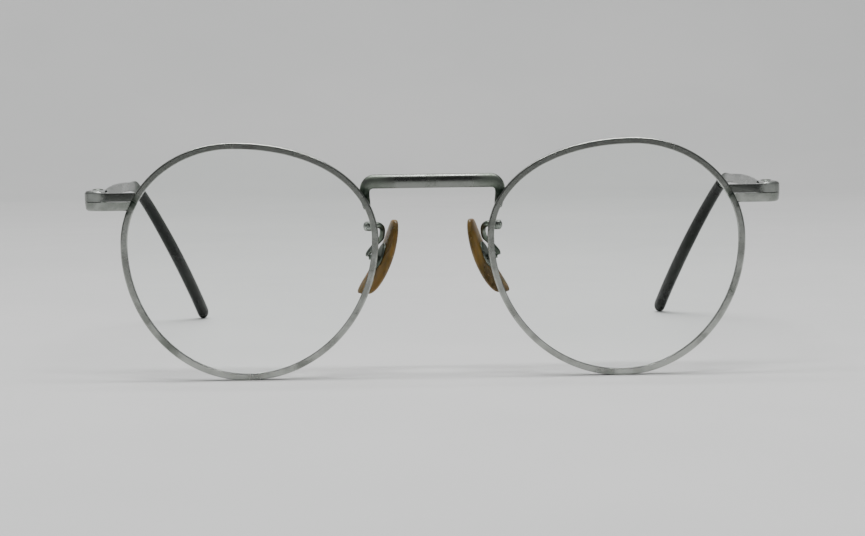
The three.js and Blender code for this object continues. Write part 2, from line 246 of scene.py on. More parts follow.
def place_at(route, far, distance):
    for i in range(1, len(far)):
        if distance <= far[i] or i == len(far) - 1:
            t = (distance - far[i - 1]) / (far[i] - far[i - 1])
            return route[i - 1].lerp(route[i], t)


def stations(route, count, start_round=0.0, end_round=0.0):
    """Evenly spaced places along a route, each with a size from 0 to 1 that rounds off the ends."""
    far = along(route)
    total = far[-1]
    turns = [math.radians(angle) for angle in (12, 26, 42, 58, 74, 90)]
    cuts = [(start_round * (1 - math.cos(a)), math.sin(a)) for a in turns] if start_round else [(0.0, 1.0)]
    inner = total - start_round - end_round
    cuts += [(start_round + inner * step / count, 1.0) for step in range(1, count)]
    if end_round:
        cuts += [(total - end_round * (1 - math.cos(a)), math.sin(a)) for a in reversed(turns)]
    else:
        cuts.append((total, 1.0))
    return [(place_at(route, far, distance), size, distance / total) for distance, size in cuts]


def sweep(shell, places, section, reference):
    """Skins a section along places from stations(). The section's first number runs along reference."""
    spots = [place for place, _, _ in places]
    rings = []
    for i, (place, size, fraction) in enumerate(places):
        before = spots[max(i - 1, 0)]
        after = spots[min(i + 1, len(spots) - 1)]
        forward = (after - before).normalized()
        side = (reference - forward * reference.dot(forward)).normalized()
        up = forward.cross(side)
        rings.append([place + side * a * size + up * b * size for a, b in section(fraction)])
    shell.rings(rings)


def oval(half_a, half_b, count=28, squareness=2.0):
    """A superellipse: squareness 2 is an ellipse, and more makes the sides flatter."""
    points = []
    for step in range(count):
        turn = math.tau * step / count
        c, s = math.cos(turn), math.sin(turn)
        a = math.copysign(abs(c) ** (2 / squareness), c)
        b = math.copysign(abs(s) ** (2 / squareness), s)
        points.append((a * half_a, b * half_b))
    return points


def turned(shell, profile, centre, axis, sides=32):
    """Revolves a closed profile of (radius, height) pairs about an axis through centre."""
    axis = Vector(axis).normalized()
    side = axis.orthogonal().normalized()
    other = axis.cross(side)
    rings = []
    for step in range(sides):
        turn = math.tau * step / sides
        out = side * math.cos(turn) + other * math.sin(turn)
        rings.append([centre + out * radius + axis * height for radius, height in profile])
    shell.rings(rings, closed=True)


def rounded_corners(points, radii, segments=4, support=0.0):
    """Replaces each corner of a closed outline with an arc, flanked by points that keep its sides flat."""
    result = []
    count = len(points)
    if isinstance(radii, float):
        radii = [radii] * count
    for i, point in enumerate(points):
        corner = Vector(point)
        before = Vector(points[i - 1]) - corner
        after = Vector(points[(i + 1) % count]) - corner
        reach = min(radii[i], before.length * 0.45, after.length * 0.45)
        start = corner + before.normalized() * reach
        stop = corner + after.normalized() * reach
        if support:
            result.append(tuple(start + before.normalized() * support))
        for step in range(segments + 1):
            t = step / segments
            result.append(tuple(start * (1 - t) ** 2 + corner * 2 * t * (1 - t) + stop * t * t))
        if support:
            result.append(tuple(stop + after.normalized() * support))
    return result


def carved(piece, cutters, bevel):
    """Cuts other pieces out of this one, removes them, and breaks the edges with a small round."""
    for cutter in cutters:
        cut = piece.modifiers.new("cut", "BOOLEAN")
        cut.operation = "DIFFERENCE"
        cut.solver = "EXACT"
        cut.object = cutter
    bpy.context.view_layer.update()
    seen = piece.evaluated_get(bpy.context.evaluated_depsgraph_get())
    data = bpy.data.meshes.new_from_object(seen)
    name = piece.name
    for old in (piece, *cutters):
        mesh = old.data
        bpy.data.objects.remove(old)
        bpy.data.meshes.remove(mesh)
    data.name = name
    result = link(name, data)
    soften(result, bevel)
    return result


def soften(piece, bevel):
    rounding = piece.modifiers.new("edge_round", "BEVEL")
    rounding.width = bevel * MM
    rounding.segments = 3
    rounding.limit_method = "ANGLE"
    rounding.angle_limit = math.radians(38)
    flatter = piece.modifiers.new("flat_faces", "WEIGHTED_NORMAL")
    flatter.keep_sharp = True


# ---- materials ----

RANGE_SOCKETS = ("From Min", "From Max", "To Min", "To Max")


class Surface:
    """A Principled material with helpers for the noise, masks and bumps that real finishes have."""

    def __init__(self, name):
        self.material = bpy.data.materials.new(name)
        self.material.use_nodes = True
        self.nodes = self.material.node_tree.nodes
        self.links = self.material.node_tree.links
        self.shader = self.nodes["Principled BSDF"]
        self.place = self.nodes.new("ShaderNodeTexCoord").outputs["Object"]

    def set(self, **values):
        for key, value in values.items():
            self.shader.inputs[key.replace("_", " ")].default_value = value

    def noise(self, size, detail=4.0, roughness=0.55, stretch=(1, 1, 1)):
        """Noise whose features are about size millimetres across."""
        mapping = self.nodes.new("ShaderNodeMapping")
        mapping.inputs["Scale"].default_value = [1 / (size * MM * k) for k in stretch]
        self.links.new(self.place, mapping.inputs["Vector"])
        node = self.nodes.new("ShaderNodeTexNoise")
        node.inputs["Scale"].default_value = 1.0
        node.inputs["Detail"].default_value = detail
        node.inputs["Roughness"].default_value = roughness
        self.links.new(mapping.outputs["Vector"], node.inputs["Vector"])
        return node.outputs["Fac"]

    def span(self, value, low, high, to_low=0.0, to_high=1.0):
        node = self.nodes.new("ShaderNodeMapRange")
        node.interpolation_type = "SMOOTHSTEP"
        for key, number in zip(RANGE_SOCKETS, (low, high, to_low, to_high)):
            node.inputs[key].default_value = number
        self.links.new(value, node.inputs["Value"])
        return node.outputs["Result"]

    def math(self, operation, one, two):
        node = self.nodes.new("ShaderNodeMath")
        node.operation = operation
        node.use_clamp = True
        for socket, value in zip(node.inputs, (one, two)):
            if isinstance(value, (int, float)):
                socket.default_value = value
            else:
                self.links.new(value, socket)
        return node.outputs["Value"]

    def near(self, spots, reach):
        """1 at any of the given places in millimetres, falling to 0 at reach millimetres away."""
        mask = None
        for spot in spots:
            distance = self.nodes.new("ShaderNodeVectorMath")
            distance.operation = "DISTANCE"
            distance.inputs[1].default_value = [value * MM for value in spot]
            self.links.new(self.place, distance.inputs[0])
            here = self.span(distance.outputs["Value"], 0.25 * reach * MM, reach * MM, 1.0, 0.0)
            mask = here if mask is None else self.math("MAXIMUM", mask, here)
        return mask

    def mix(self, factor, one, two):
        node = self.nodes.new("ShaderNodeMix")
        node.data_type = "RGBA"
        for socket, value in ((node.inputs[0], factor), (node.inputs[6], one), (node.inputs[7], two)):
            if isinstance(value, tuple):
                socket.default_value = (*value, 1.0)
            else:
                self.links.new(value, socket)
        return node.outputs[2]

    def into(self, key, value):
        self.links.new(value, self.shader.inputs[key])

    def bump(self, height, depth):
        """Relief of depth millimetres."""
        node = self.nodes.new("ShaderNodeBump")
        node.inputs["Strength"].default_value = 1.0
        node.inputs["Distance"].default_value = depth * MM
        self.links.new(height, node.inputs["Height"])
        self.links.new(node.outputs["Normal"], self.shader.inputs["Normal"])


def metal(name, bright, dull, roughness, patchiness, relief, grain=(1, 1, 1), layers=()):
    """Plated metal: soft patches of wear, fine scratches, pits, and layers that gather round places.

    A layer is its places in millimetres, how far it reaches, its colour, and what it adds to the roughness.
    Most layers are real tarnish and wear; the near-black ones are painted shade in the gaps between parts.
    """
    surface = Surface(name)
    surface.set(Metallic=1.0)
    patches = surface.noise(4.5, 5.0, 0.6, grain)
    worn = surface.span(patches, 0.5 - patchiness * 0.25, 0.72 - patchiness * 0.2)
    colour = surface.mix(worn, bright, dull)
    specks = surface.span(surface.noise(0.55, 3.0, 0.7), 0.6, 0.74)
    pits = surface.math("MULTIPLY", specks, surface.math("ADD", worn, 0.25))
    colour = surface.mix(surface.math("MULTIPLY", pits, 0.7), colour, GREEN_TARNISH)
    grime = surface.math("MULTIPLY", surface.span(surface.noise(9.0, 3.0), 0.52, 0.75), 0.35)
    colour = surface.mix(grime, colour, GREEN_TARNISH)
    scratches = surface.noise(0.35, 2.0, 0.5, (1.0, 6.0, 1.0))
    rough = surface.span(patches, 0.3, 0.75, roughness * 0.8, roughness * 1.35)
    rough = surface.math("ADD", rough, surface.math("MULTIPLY", grime, 0.22))
    rough = surface.math("ADD", rough, surface.math("MULTIPLY", scratches, 0.05))
    ragged = surface.span(surface.noise(1.1, 4.0, 0.65), 0.25, 0.6, 0.35, 1.0)
    for spots, reach, tint, roughening in layers:
        gathered = surface.math("MULTIPLY", surface.near(spots, reach), ragged)
        colour = surface.mix(gathered, colour, tint)
        rough = surface.math("ADD", rough, surface.math("MULTIPLY", gathered, roughening))
    surface.into("Base Color", colour)
    surface.into("Roughness", rough)
    height = surface.math("SUBTRACT", surface.math("ADD", scratches, patches), pits)
    surface.bump(height, relief)
    return surface.material


def clear_glass():
    """Old clear glass: nearly nothing to see but a faint edge and the odd wipe mark."""
    surface = Surface("clear_glass")
    surface.set(Base_Color=(0.97, 0.99, 0.98, 1.0), IOR=1.15, Transmission_Weight=1.0)
    smears = surface.span(surface.noise(12.0, 4.0, 0.6, stretch=(1.0, 1.0, 2.5)), 0.5, 0.8, 0.0, 0.02)
    surface.into("Roughness", smears)
    return surface.material


def dark_plastic():
    """Glossy green-black moulded plastic with handling haze and a few fine scratches."""
    surface = Surface("dark_plastic")
    surface.set(IOR=1.49, Specular_IOR_Level=0.2)
    cloud = surface.noise(7.0, 4.0, 0.6)
    depth = surface.span(cloud, 0.35, 0.7)
    colour = surface.mix(depth, (0.003, 0.004, 0.003), (0.007, 0.010, 0.007))
    dust = surface.span(surface.noise(0.5, 3.0, 0.7), 0.66, 0.78)
    colour = surface.mix(surface.math("MULTIPLY", dust, 0.35), colour, (0.05, 0.055, 0.045))
    surface.into("Base Color", colour)
    fine = surface.noise(0.3, 2.0, 0.5, stretch=(1.0, 8.0, 8.0))
    haze = surface.span(cloud, 0.3, 0.75, 0.2, 0.36)
    surface.into("Roughness", surface.math("ADD", haze, surface.math("MULTIPLY", fine, 0.08)))
    surface.bump(surface.math("ADD", cloud, fine), 0.02)
    return surface.material


def amber_plastic():
    """Translucent amber-brown zylonite, cloudy inside, darker where it is thick."""
    surface = Surface("amber_plastic")
    surface.set(IOR=1.5, Subsurface_Weight=0.35, Subsurface_Scale=0.0012, Coat_Weight=0.2)
    surface.set(Subsurface_Radius=(1.0, 0.42, 0.12), Coat_Roughness=0.2, Transmission_Weight=0.12)
    streaks = surface.noise(3.2, 4.0, 0.6, stretch=(1.0, 1.0, 2.2))
    colour = surface.mix(surface.span(streaks, 0.35, 0.68), (0.095, 0.06, 0.015), (0.22, 0.13, 0.028))
    cloudy = surface.span(surface.noise(0.8, 3.0, 0.6), 0.5, 0.8)
    colour = surface.mix(surface.math("MULTIPLY", cloudy, 0.4), colour, (0.14, 0.095, 0.035))
    surface.into("Base Color", colour)
    surface.into("Roughness", surface.span(streaks, 0.3, 0.75, 0.24, 0.42))
    surface.bump(surface.noise(0.6, 3.0, 0.5), 0.02)
    return surface.material


def both_sides(spots):
    return [*spots, *[(-x, y, z) for x, y, z in spots]]


BRIDGE_FEET = both_sides([(12.3, RIM_BACK, 32.2), (12.4, FRONT_Y + 0.4, 34.2)])
BRIDGE_CORNERS = both_sides([(12.6, FRONT_Y - 1, 36.6)])
# Where each bridge leg turns back behind the rim, where a painted shade darkens the crevice between the
# parts.
BRIDGE_KNEE_SHADE_SPOTS = both_sides([(12.5, FRONT_Y - 0.5, 34.1), (12.5, FRONT_Y + 0.3, 33.4)])
# The seam in each rim wire and the notch under the lower endpiece, where a painted shade darkens the gaps.
RIM_NOTCH_SHADE_SPOTS = both_sides([(55.5, FRONT_Y - 0.8, SEAM_Z), (56.6, FRONT_Y - 0.8, LOWER_LOW.z - 0.2)])
RIM_JOINTS = both_sides([(55.2, FRONT_Y, SEAM_Z), (11.0, RIM_BACK, 28.0), (12.2, RIM_BACK, 32.4)])
STUB_SPOTS = both_sides([(12.4, STUB_Y, STUB_Z)])
BEND_SPOTS = both_sides([(HINGE.x + TEMPLE_BOW, TEMPLE_END + 1.0, 33.0), (65.6, TEMPLE_END + 4.5, 31.5)])
SCREW_SPOTS = both_sides([(HINGE.x, HINGE.y, SCREW_HIGH.z)])
BLOCK_SPOTS = both_sides(
    [(62.6, FRONT_Y - 0.3, 34.3), (63.6, FRONT_Y + 1.2, 34.3), (61.7, FRONT_Y - 1.0, 34.3)]
)

SILVER = (0.31, 0.325, 0.305)
DULL_SILVER = (0.2, 0.215, 0.195)
PITTED_SILVER = (0.37, 0.388, 0.365)
GREEN_TARNISH = (0.055, 0.075, 0.055)
SOFT_TARNISH = (0.13, 0.15, 0.125)
DARK_TARNISH = (0.085, 0.1, 0.085)
# A near-black colour used as painted shade in the gaps between parts, not a tarnish.
PAINTED_GAP_SHADE = (0.018, 0.028, 0.02)

# Real green tarnish at the rim's solder joints, and painted shade in the rim's notches.
RIM_LAYERS = [(RIM_JOINTS, 2.6, GREEN_TARNISH, 0.2), (RIM_NOTCH_SHADE_SPOTS, 1.3, PAINTED_GAP_SHADE, 0.2)]
# Soft tarnish at the corners and green tarnish at the feet are the metal's own; the knees get painted shade.
BRIDGE_LAYERS = [
    (BRIDGE_CORNERS, 6.5, SOFT_TARNISH, 0.22),
    (BRIDGE_FEET, 2.6, GREEN_TARNISH, 0.2),
    (BRIDGE_KNEE_SHADE_SPOTS, 1.7, PAINTED_GAP_SHADE, 0.2),
]
BEND_LAYERS = [(BEND_SPOTS, 8.0, DARK_TARNISH, 0.25)]
PANEL_LAYERS = [(BLOCK_SPOTS, 1.9, PITTED_SILVER, 0.3)]
LOWER_LAYERS = [(SCREW_SPOTS, 2.0, GREEN_TARNISH, 0.2)]
ARM_LAYERS = [(STUB_SPOTS, 2.4, PITTED_SILVER, 0.15)]

RIM_METAL = metal("rim_silver", (0.38, 0.395, 0.37), (0.28, 0.29, 0.27), 0.2, 0.4, 0.006, layers=RIM_LAYERS)
BRIDGE_METAL = metal(
    "bridge_silver", (0.2, 0.21, 0.195), (0.15, 0.16, 0.145), 0.22, 0.2, 0.004, layers=BRIDGE_LAYERS
)
PANEL_METAL = metal("polished_silver", SILVER, DULL_SILVER, 0.12, 0.3, 0.004, layers=PANEL_LAYERS)
WORN_METAL = metal("worn_silver", SILVER, DULL_SILVER, 0.2, 0.7, 0.012, layers=LOWER_LAYERS)
TEMPLE_METAL = metal(
    "temple_silver", (0.2, 0.212, 0.197), (0.15, 0.162, 0.147), 0.26, 0.4, 0.006, (1, 7, 1), BEND_LAYERS
)
ARM_METAL = metal(
    "tarnished_metal", (0.36, 0.38, 0.35), (0.14, 0.165, 0.135), 0.28, 0.9, 0.015, layers=ARM_LAYERS
)
GLASS = clear_glass()
DARK_PLASTIC = dark_plastic()
AMBER_PLASTIC = amber_plastic()


# ---- placing pieces on the frame ----


def dress(piece, node, body, material):
    """Gives a piece its material and its body, and hides the CAD node it stands for."""
    piece.data.materials.clear()
    piece.data.materials.append(material)
    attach(piece, body)
    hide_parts(node)


def dress_pair(left, stem, material, body="front"):
    """Dresses a left piece and its mirror image. A body with a side is named body_left_body."""
    right = mirrored(left, f"{stem}_right_piece")
    if left.modifiers:
        soften(right, left.modifiers[0].width / MM)
    for piece, side in ((left, "left"), (right, "right")):
        rides = body if body == "front" else f"{body}_{side}_body"
        dress(piece, f"{stem}_{side}", rides, material)


# ---- the rims and lenses ----


def rim_quarters(offset=0.0):
    """Four curves through the widest, highest and lowest points, from the temple side upwards."""
    half_width = LENS_HALF_WIDTH + offset
    outer = Vector((LENS_X + half_width, FRONT_Y, LENS_Z + TEMPLE_SIDE_HEIGHT))
    top = Vector((LENS_X + TOP_SHIFT, FRONT_Y, LENS_TOP + offset))
    inner = Vector((LENS_X - half_width, FRONT_Y, LENS_Z + NOSE_SIDE_HEIGHT))
    bottom = Vector((LENS_X + BOTTOM_SHIFT, FRONT_Y, LENS_BOTTOM - offset))

    def handles(side, level, stretch=1.0):
        rise = (level.z - side.z) * ROUNDNESS
        run = (side.x - level.x) * ROUNDNESS * stretch
        return side + Vector((0, 0, rise)), level + Vector((run, 0, 0))

    outer_up, top_out = handles(outer, top)
    inner_up, top_in = handles(inner, top, TOP_HANDLE)
    inner_down, bottom_in = handles(inner, bottom)
    outer_down, bottom_out = handles(outer, bottom)
    return [
        bezier(outer, outer_up, top_out, top),
        bezier(top, top_in, inner_up, inner),
        bezier(inner, inner_down, bottom_in, bottom),
        bezier(bottom, bottom_out, outer_down, outer),
    ]


def turn_at(quarter, z):
    """How far along a rising quarter of the rim the height z is reached."""
    low, high = 0.0, 1.0
    for _ in range(40):
        middle = (low + high) / 2
        if quarter(middle).z < z:
            low = middle
        else:
            high = middle
    return low


def rim_route():
    """Points round the rim from just above the endpiece seam to just below it."""
    count = 360
    quarters = rim_quarters()
    start = turn_at(quarters[0], SEAM_Z + SEAM_GAP / 2)
    end = turn_at(quarters[0], SEAM_Z - SEAM_GAP / 2) + 4
    route = []
    for step in range(count + 1):
        turn = start + (end - start) * step / count
        quarter = min(int(turn), 4)
        route.append(quarters[quarter % 4](turn - quarter))
    return route


def rim_section():
    """Front to back, then outwards: a flat face, a soft outer edge, crisp lips and a groove for the lens."""
    face = WIRE_FACE / 2
    depth = WIRE_DEPTH / 2
    groove = 0.42
    corners = [
        (depth, -face),
        (depth, face),
        (-depth, face),
        (-depth, -face),
        (-groove, -face),
        (0.0, -face + groove),
        (groove, -face),
    ]
    return rounded_corners(corners, [0.1, 0.3, 0.3, 0.1, 0.05, 0.03, 0.05], 4, 0.02)


def make_rims():
    """The rim wires, cut flat where they stand on the table."""
    shell = Shell()
    profile = rim_section()
    sweep(shell, stations(rim_route(), 300), lambda _: profile, Vector((0, -1, 0)))
    table = RIM_LOW.z
    for vert in shell.mesh.verts:
        vert.co.z = max(vert.co.z, table)
    dress_pair(shell.finish("rim_left_piece", 35), "rim", RIM_METAL)


def make_lenses():
    """A thin meniscus of glass whose bevelled edge sits in the rim's groove."""
    bowl = 120.0
    thickness = 1.5
    edge_inset = WIRE_FACE / 2 - 0.02
    bevel_width = 0.28
    bevel_half_depth = 0.3
    outline = [quarter(step / 40) for quarter in rim_quarters(-edge_inset) for step in range(40)]
    apex = [quarter(step / 40) for quarter in rim_quarters(-edge_inset + bevel_width) for step in range(40)]
    middle = Vector((LENS_X, FRONT_Y, LENS_Z))

    def sag(point):
        across = Vector((point.x - LENS_X, 0, point.z - LENS_Z)).length
        return bowl - math.sqrt(bowl * bowl - across * across)

    edge_sag = sag(Vector((LENS_X + LENS_HALF_WIDTH - 1.2, 0, LENS_Z)))

    def ring(fraction, back):
        points = []
        for point in outline:
            spot = middle.lerp(point, fraction)
            side = thickness / 2 if back else -thickness / 2
            points.append(Vector((spot.x, FRONT_Y + sag(spot) - edge_sag + side, spot.z)))
        return points

    def bevel_ring(source, y):
        return [Vector((point.x, FRONT_Y + y, point.z)) for point in source]

    fractions = [0.02, 0.15, 0.3, 0.45, 0.6, 0.75, 0.88, 0.97, 1.0]
    shell = Shell()
    rings = [ring(fraction, False) for fraction in fractions]
    rings.append(bevel_ring(outline, -bevel_half_depth))
    rings.append(bevel_ring(apex, 0.0))
    rings.append(bevel_ring(outline, bevel_half_depth))
    rings += [ring(fraction, True) for fraction in reversed(fractions)]
    shell.rings(rings)
    dress_pair(shell.finish("lens_left_piece", 35), "lens", GLASS)


# ---- the bridge ----


def make_bridge():
    """A flattened bar whose ends turn down and back into slimmer legs behind the rims."""
    bar_y = FRONT_Y - 0.2
    leg_y = RIM_BACK + 0.72
    leg_x = BRIDGE_HIGH.x - LEG_HALF_WIDTH
    bar_z = BRIDGE_HIGH.z - BAR_HALF_HEIGHT
    corner = 1.75
    turn_z = bar_z - corner
    leg_steps = 16
    steps = 12
    side = []
    for step in range(leg_steps + 1):
        z = BRIDGE_LOW.z + (turn_z - BRIDGE_LOW.z) * step / leg_steps
        forward = smooth_step((z - BRIDGE_LOW.z - 0.5) / (turn_z - BRIDGE_LOW.z - 0.8))
        inward = 0.35 * (1 - step / leg_steps) ** 2
        side.append(Vector((leg_x - inward, leg_y + (bar_y - leg_y) * forward, z)))
    for step in range(1, steps + 1):
        turn = math.radians(90 * step / steps)
        out = Vector((math.cos(turn) - 1, 0, math.sin(turn))) * corner
        side.append(Vector((leg_x, bar_y, turn_z)) + out)
    bar_start = side[-1]
    for step in range(1, steps):
        side.append(bar_start.lerp(Vector((0, bar_y, bar_z)), step / steps))
    route = side + [Vector((-point.x, point.y, point.z)) for point in reversed(side)]
    total = along(route)[-1]
    leg_length = along(side)[leg_steps]
    leg_half_depth = 0.62
    bar_half_depth = 0.75
    foot_length = 1.6
    foot_taper = 0.18

    def section(fraction):
        to_end = min(fraction, 1 - fraction) * total
        grow = smooth_step((to_end - leg_length + 0.6) / 3.2)
        foot = max(0.0, 1 - to_end / foot_length)
        half_depth = leg_half_depth + (bar_half_depth - leg_half_depth) * grow
        half_height = LEG_HALF_WIDTH + (BAR_HALF_HEIGHT - LEG_HALF_WIDTH) * grow - foot_taper * foot
        return oval(half_depth, half_height, 36, 2.0 + 0.35 * grow)

    shell = Shell()
    sweep(shell, stations(route, 170, 0.45, 0.45), section, Vector((0, -1, 0)))
    dress(shell.finish("bridge_piece"), "bridge", "front", BRIDGE_METAL)


# ---- the endpieces, screws and temples ----


def endpiece_outline(inset=0.0):
    """Plan of an endpiece, anticlockwise from above, with its sides moved inwards by inset."""
    outer = UPPER_HIGH.x
    inner = 54.6
    leg = HINGE.x - LEAF_RADIUS
    fillet = 0.8
    points = [(inner, PANEL_FRONT + inset)]
    centre = (outer - CORNER_RADIUS, PANEL_FRONT + CORNER_RADIUS)
    for step in range(13):
        turn = math.radians(-90 + 90 * step / 12)
        reach = CORNER_RADIUS - inset
        points.append((centre[0] + reach * math.cos(turn), centre[1] + reach * math.sin(turn)))
    for step in range(21):
        turn = math.pi * step / 20
        reach = LEAF_RADIUS - inset
        points.append((HINGE.x + reach * math.cos(turn), HINGE.y + reach * math.sin(turn)))
    for step in range(9):
        turn = math.radians(-90 * step / 8)
        reach = fillet + inset
        x = leg - fillet + reach * math.cos(turn)
        y = PANEL_BACK + fillet + reach * math.sin(turn)
        points.append((x, y))
    points.append((inner, PANEL_BACK - inset))
    return points


def endpiece_half(name, levels):
    """Stacks the plan at (height, inset) levels from the bottom up."""
    shell = Shell()
    shell.rings([[Vector((x, y, height)) for x, y in endpiece_outline(inset)] for height, inset in levels])
    return shell.finish(name)


def rounded_edge(height, radius, upwards, slope=0.0):
    """Levels that turn a wall into a flat face through a quarter circle."""
    steps = 6
    levels = []
    for step in range(steps + 1):
        turn = math.radians(90 * step / steps)
        drop = radius * (1 - math.sin(turn))
        inset = slope + radius * (1 - math.cos(turn))
        levels.append((height - drop if upwards else height + drop, inset))
    return levels if upwards else list(reversed(levels))


def cutting_block(low, high):
    shell = Shell()
    shell.box(low, high)
    return shell.finish("cutter")


def cutting_post(centre, low, high, radius):
    """An upright cylinder for cutting holes and seats."""
    sides = 48
    rings = []
    for height in (low, high):
        ring = []
        for step in range(sides):
            turn = math.tau * step / sides
            x = centre.x + radius * math.cos(turn)
            y = centre.y + radius * math.sin(turn)
            ring.append(Vector((x, y, height)))
        rings.append(ring)
    shell = Shell()
    shell.rings(rings)
    return shell.finish("cutter")


def rim_room():
    """Everything inside the rim wire's outer face, so that an endpiece ends on the wire."""
    outline = [quarter(step / 30) for quarter in rim_quarters(WIRE_FACE / 2 - 0.12) for step in range(30)]
    shell = Shell()
    shell.rings([[Vector((point.x, FRONT_Y + y, point.z)) for point in outline] for y in (-6, 6)])
    return shell.finish("cutter")


def hinge_cutters():
    """What is cut from both endpiece halves: the rim's room, the knuckle's slot and the screw's hole."""
    low = KNUCKLE_LOW - 0.1
    high = KNUCKLE_HIGH + 0.1
    inward_low = (HINGE.x - 6, HINGE.y - 0.9, low)
    inward_high = (HINGE.x, HINGE.y + 4, high)
    return [
        rim_room(),
        cutting_post(HINGE, low, high, LEAF_RADIUS + 0.35),
        cutting_block(inward_low, inward_high),
        cutting_post(HINGE, 20, 45, SCREW_RADIUS + RUNNING_GAP),
    ]


def make_endpieces():
    """Two halves split at the height of the hinge, and the screw that holds them together."""
    top = UPPER_HIGH.z
    upper = endpiece_half("endpiece_upper_left_piece", [(UPPER_LOW.z, 0.0), *rounded_edge(top, 0.62, True)])
    step_low = (40, PANEL_FRONT - 5, PANEL_TOP)
    step_high = (UPPER_HIGH.x - CORNER_RADIUS, PANEL_FRONT + 8, top + 2)
    seat = cutting_post(HINGE, top - 0.35, top + 2, SCREW_HEAD_RADIUS + RUNNING_GAP)
    upper = carved(upper, [*hinge_cutters(), cutting_block(step_low, step_high), seat], 0.09)
    dress_pair(upper, "endpiece_upper", PANEL_METAL)

    levels = [*rounded_edge(LOWER_LOW.z, 0.6, False, 0.12), (LOWER_HIGH.z - 0.35, 0.03), (LOWER_HIGH.z, 0.0)]
    lower = endpiece_half("endpiece_lower_left_piece", levels)
    lower = carved(lower, hinge_cutters(), 0.07)
    dress_pair(lower, "endpiece_lower", WORN_METAL)

    shell = Shell()
    neck = top - 0.3
    crown = SCREW_HIGH.z
    profile = [
        (0.01, SCREW_LOW.z),
        (SCREW_RADIUS - 0.12, SCREW_LOW.z),
        (SCREW_RADIUS, SCREW_LOW.z + 0.12),
        (SCREW_RADIUS, neck),
        (SCREW_HEAD_RADIUS - 0.05, neck),
        (SCREW_HEAD_RADIUS, neck + 0.05),
        (SCREW_HEAD_RADIUS, crown - 0.22),
        (SCREW_HEAD_RADIUS - 0.1, crown - 0.08),
        (SCREW_HEAD_RADIUS - 0.35, crown - 0.01),
        (0.01, crown),
    ]
    turned(shell, profile, Vector((HINGE.x, HINGE.y, 0)), (0, 0, 1), 48)
    screw = shell.finish("hinge_screw_left_piece")
    slot_low = (HINGE.x - 2, HINGE.y - 0.15, crown - 0.22)
    slot_high = (HINGE.x + 2, HINGE.y + 0.15, crown + 1)
    screw = carved(screw, [cutting_block(slot_low, slot_high)], 0.02)
    dress_pair(screw, "hinge_screw", WORN_METAL)


def tip_curve():
    """From the bend of the left temple down to the table."""
    return bezier(
        Vector((HINGE.x + TEMPLE_BOW, TEMPLE_END, 32.85)),
        Vector((HINGE.x + TEMPLE_BOW + 0.2, TEMPLE_END + 6, 33.25)),
        Vector((59.2, FRONT_Y + 110.5, 18.5)),
        Vector((54.6, FRONT_Y + 127.6, 1.6)),
    )


def make_temples():
    """A knuckle with a screw hole, a slim neck, and a bar that swells and arches to the bend."""
    shell = Shell()
    middle = (KNUCKLE_LOW + KNUCKLE_HIGH) / 2
    half = (KNUCKLE_HIGH - KNUCKLE_LOW) / 2
    bore = SCREW_RADIUS + RUNNING_GAP
    knuckle = LEAF_RADIUS - 0.1
    profile = rounded_corners([(bore, -half), (knuckle, -half), (knuckle, half), (bore, half)], 0.15, 3)
    turned(shell, profile, Vector((HINGE.x, HINGE.y, middle)), (0, 0, 1), 40)

    def bar_place(t):
        low = (1 - t) ** 2 * KNUCKLE_LOW + 2 * t * (1 - t) * 33.1 + t * t * 31.95
        high = (1 - t) ** 2 * KNUCKLE_HIGH + 2 * t * (1 - t) * 35.7 + t * t * 33.75
        y = TEMPLE_START + (TEMPLE_END - TEMPLE_START) * t
        x = HINGE.x + TEMPLE_BOW * math.sin(t * math.pi / 2)
        return Vector((x, y, (low + high) / 2)), (high - low) / 2

    route = [Vector((HINGE.x, HINGE.y + 1.2, middle))] + [bar_place(step / 60)[0] for step in range(60)]
    bend = tip_curve()
    route += [bend(SLEEVE_START * step / 12) for step in range(13)]
    total = along(route)[-1]
    bar_length = TEMPLE_END - HINGE.y - 1.2
    neck_half_height = 0.68
    neck_half_width = 0.6

    def section(fraction):
        far = fraction * total
        t = min(max((far - 1.0) / (bar_length - 1.0), 0.0), 1.0)
        neck = min(1.0, far / 2.6)
        bar_half = bar_place(t)[1]
        swell = smooth_step((far - bar_length + 9) / 10)
        half_height = neck_half_height + (bar_half - neck_half_height) * neck
        half_height += (BEND_HALF_HEIGHT - half_height) * swell
        half_width = neck_half_width + (BEND_HALF_WIDTH - neck_half_width) * swell
        return oval(half_width, half_height, 28, 3.2 - 0.8 * swell)

    sweep(shell, stations(route, 110), section, Vector((1, 0, 0)))
    dress_pair(shell.finish("temple_left_piece"), "temple", TEMPLE_METAL, "temple")


def make_tips():
    """Plastic sleeves that start as a soft shoulder at the bend, swell a little and end round."""
    bend = tip_curve()
    route = [bend(SLEEVE_START + (1 - SLEEVE_START) * step / 160) for step in range(161)]
    last = (route[-1] - route[-2]).normalized()
    end_run = 1.55
    route.append(route[-1] + last * end_run)
    half_width = 1.08
    half_height = 1.38
    growth = 0.22

    def section(fraction):
        swell = math.sin(min(fraction / 0.7, 1.0) * math.pi / 2)
        return oval(half_width + growth * swell, half_height + growth * swell, 28, 2.15)

    shell = Shell()
    sweep(shell, stations(route, 90, 0.25, 1.6), section, Vector((1, 0, 0)))
    for vert in shell.mesh.verts:
        vert.co.z = max(vert.co.z, TIP_LOW.z)
    dress_pair(shell.finish("temple_tip_left_piece"), "temple_tip", DARK_PLASTIC, "temple")


# ---- the nose pads and what holds them ----


def place_on_pad(thick, wide, high):
    """Carries a point from the pad's own upright frame to where the pad sits."""
    splay = PAD_SPLAY + PAD_TWIST * high
    sideways = PAD_LEAN * high + PAD_CURL * high * high + splay * wide
    return Vector((PAD.x + thick + sideways, PAD.y + wide, PAD.z + high))


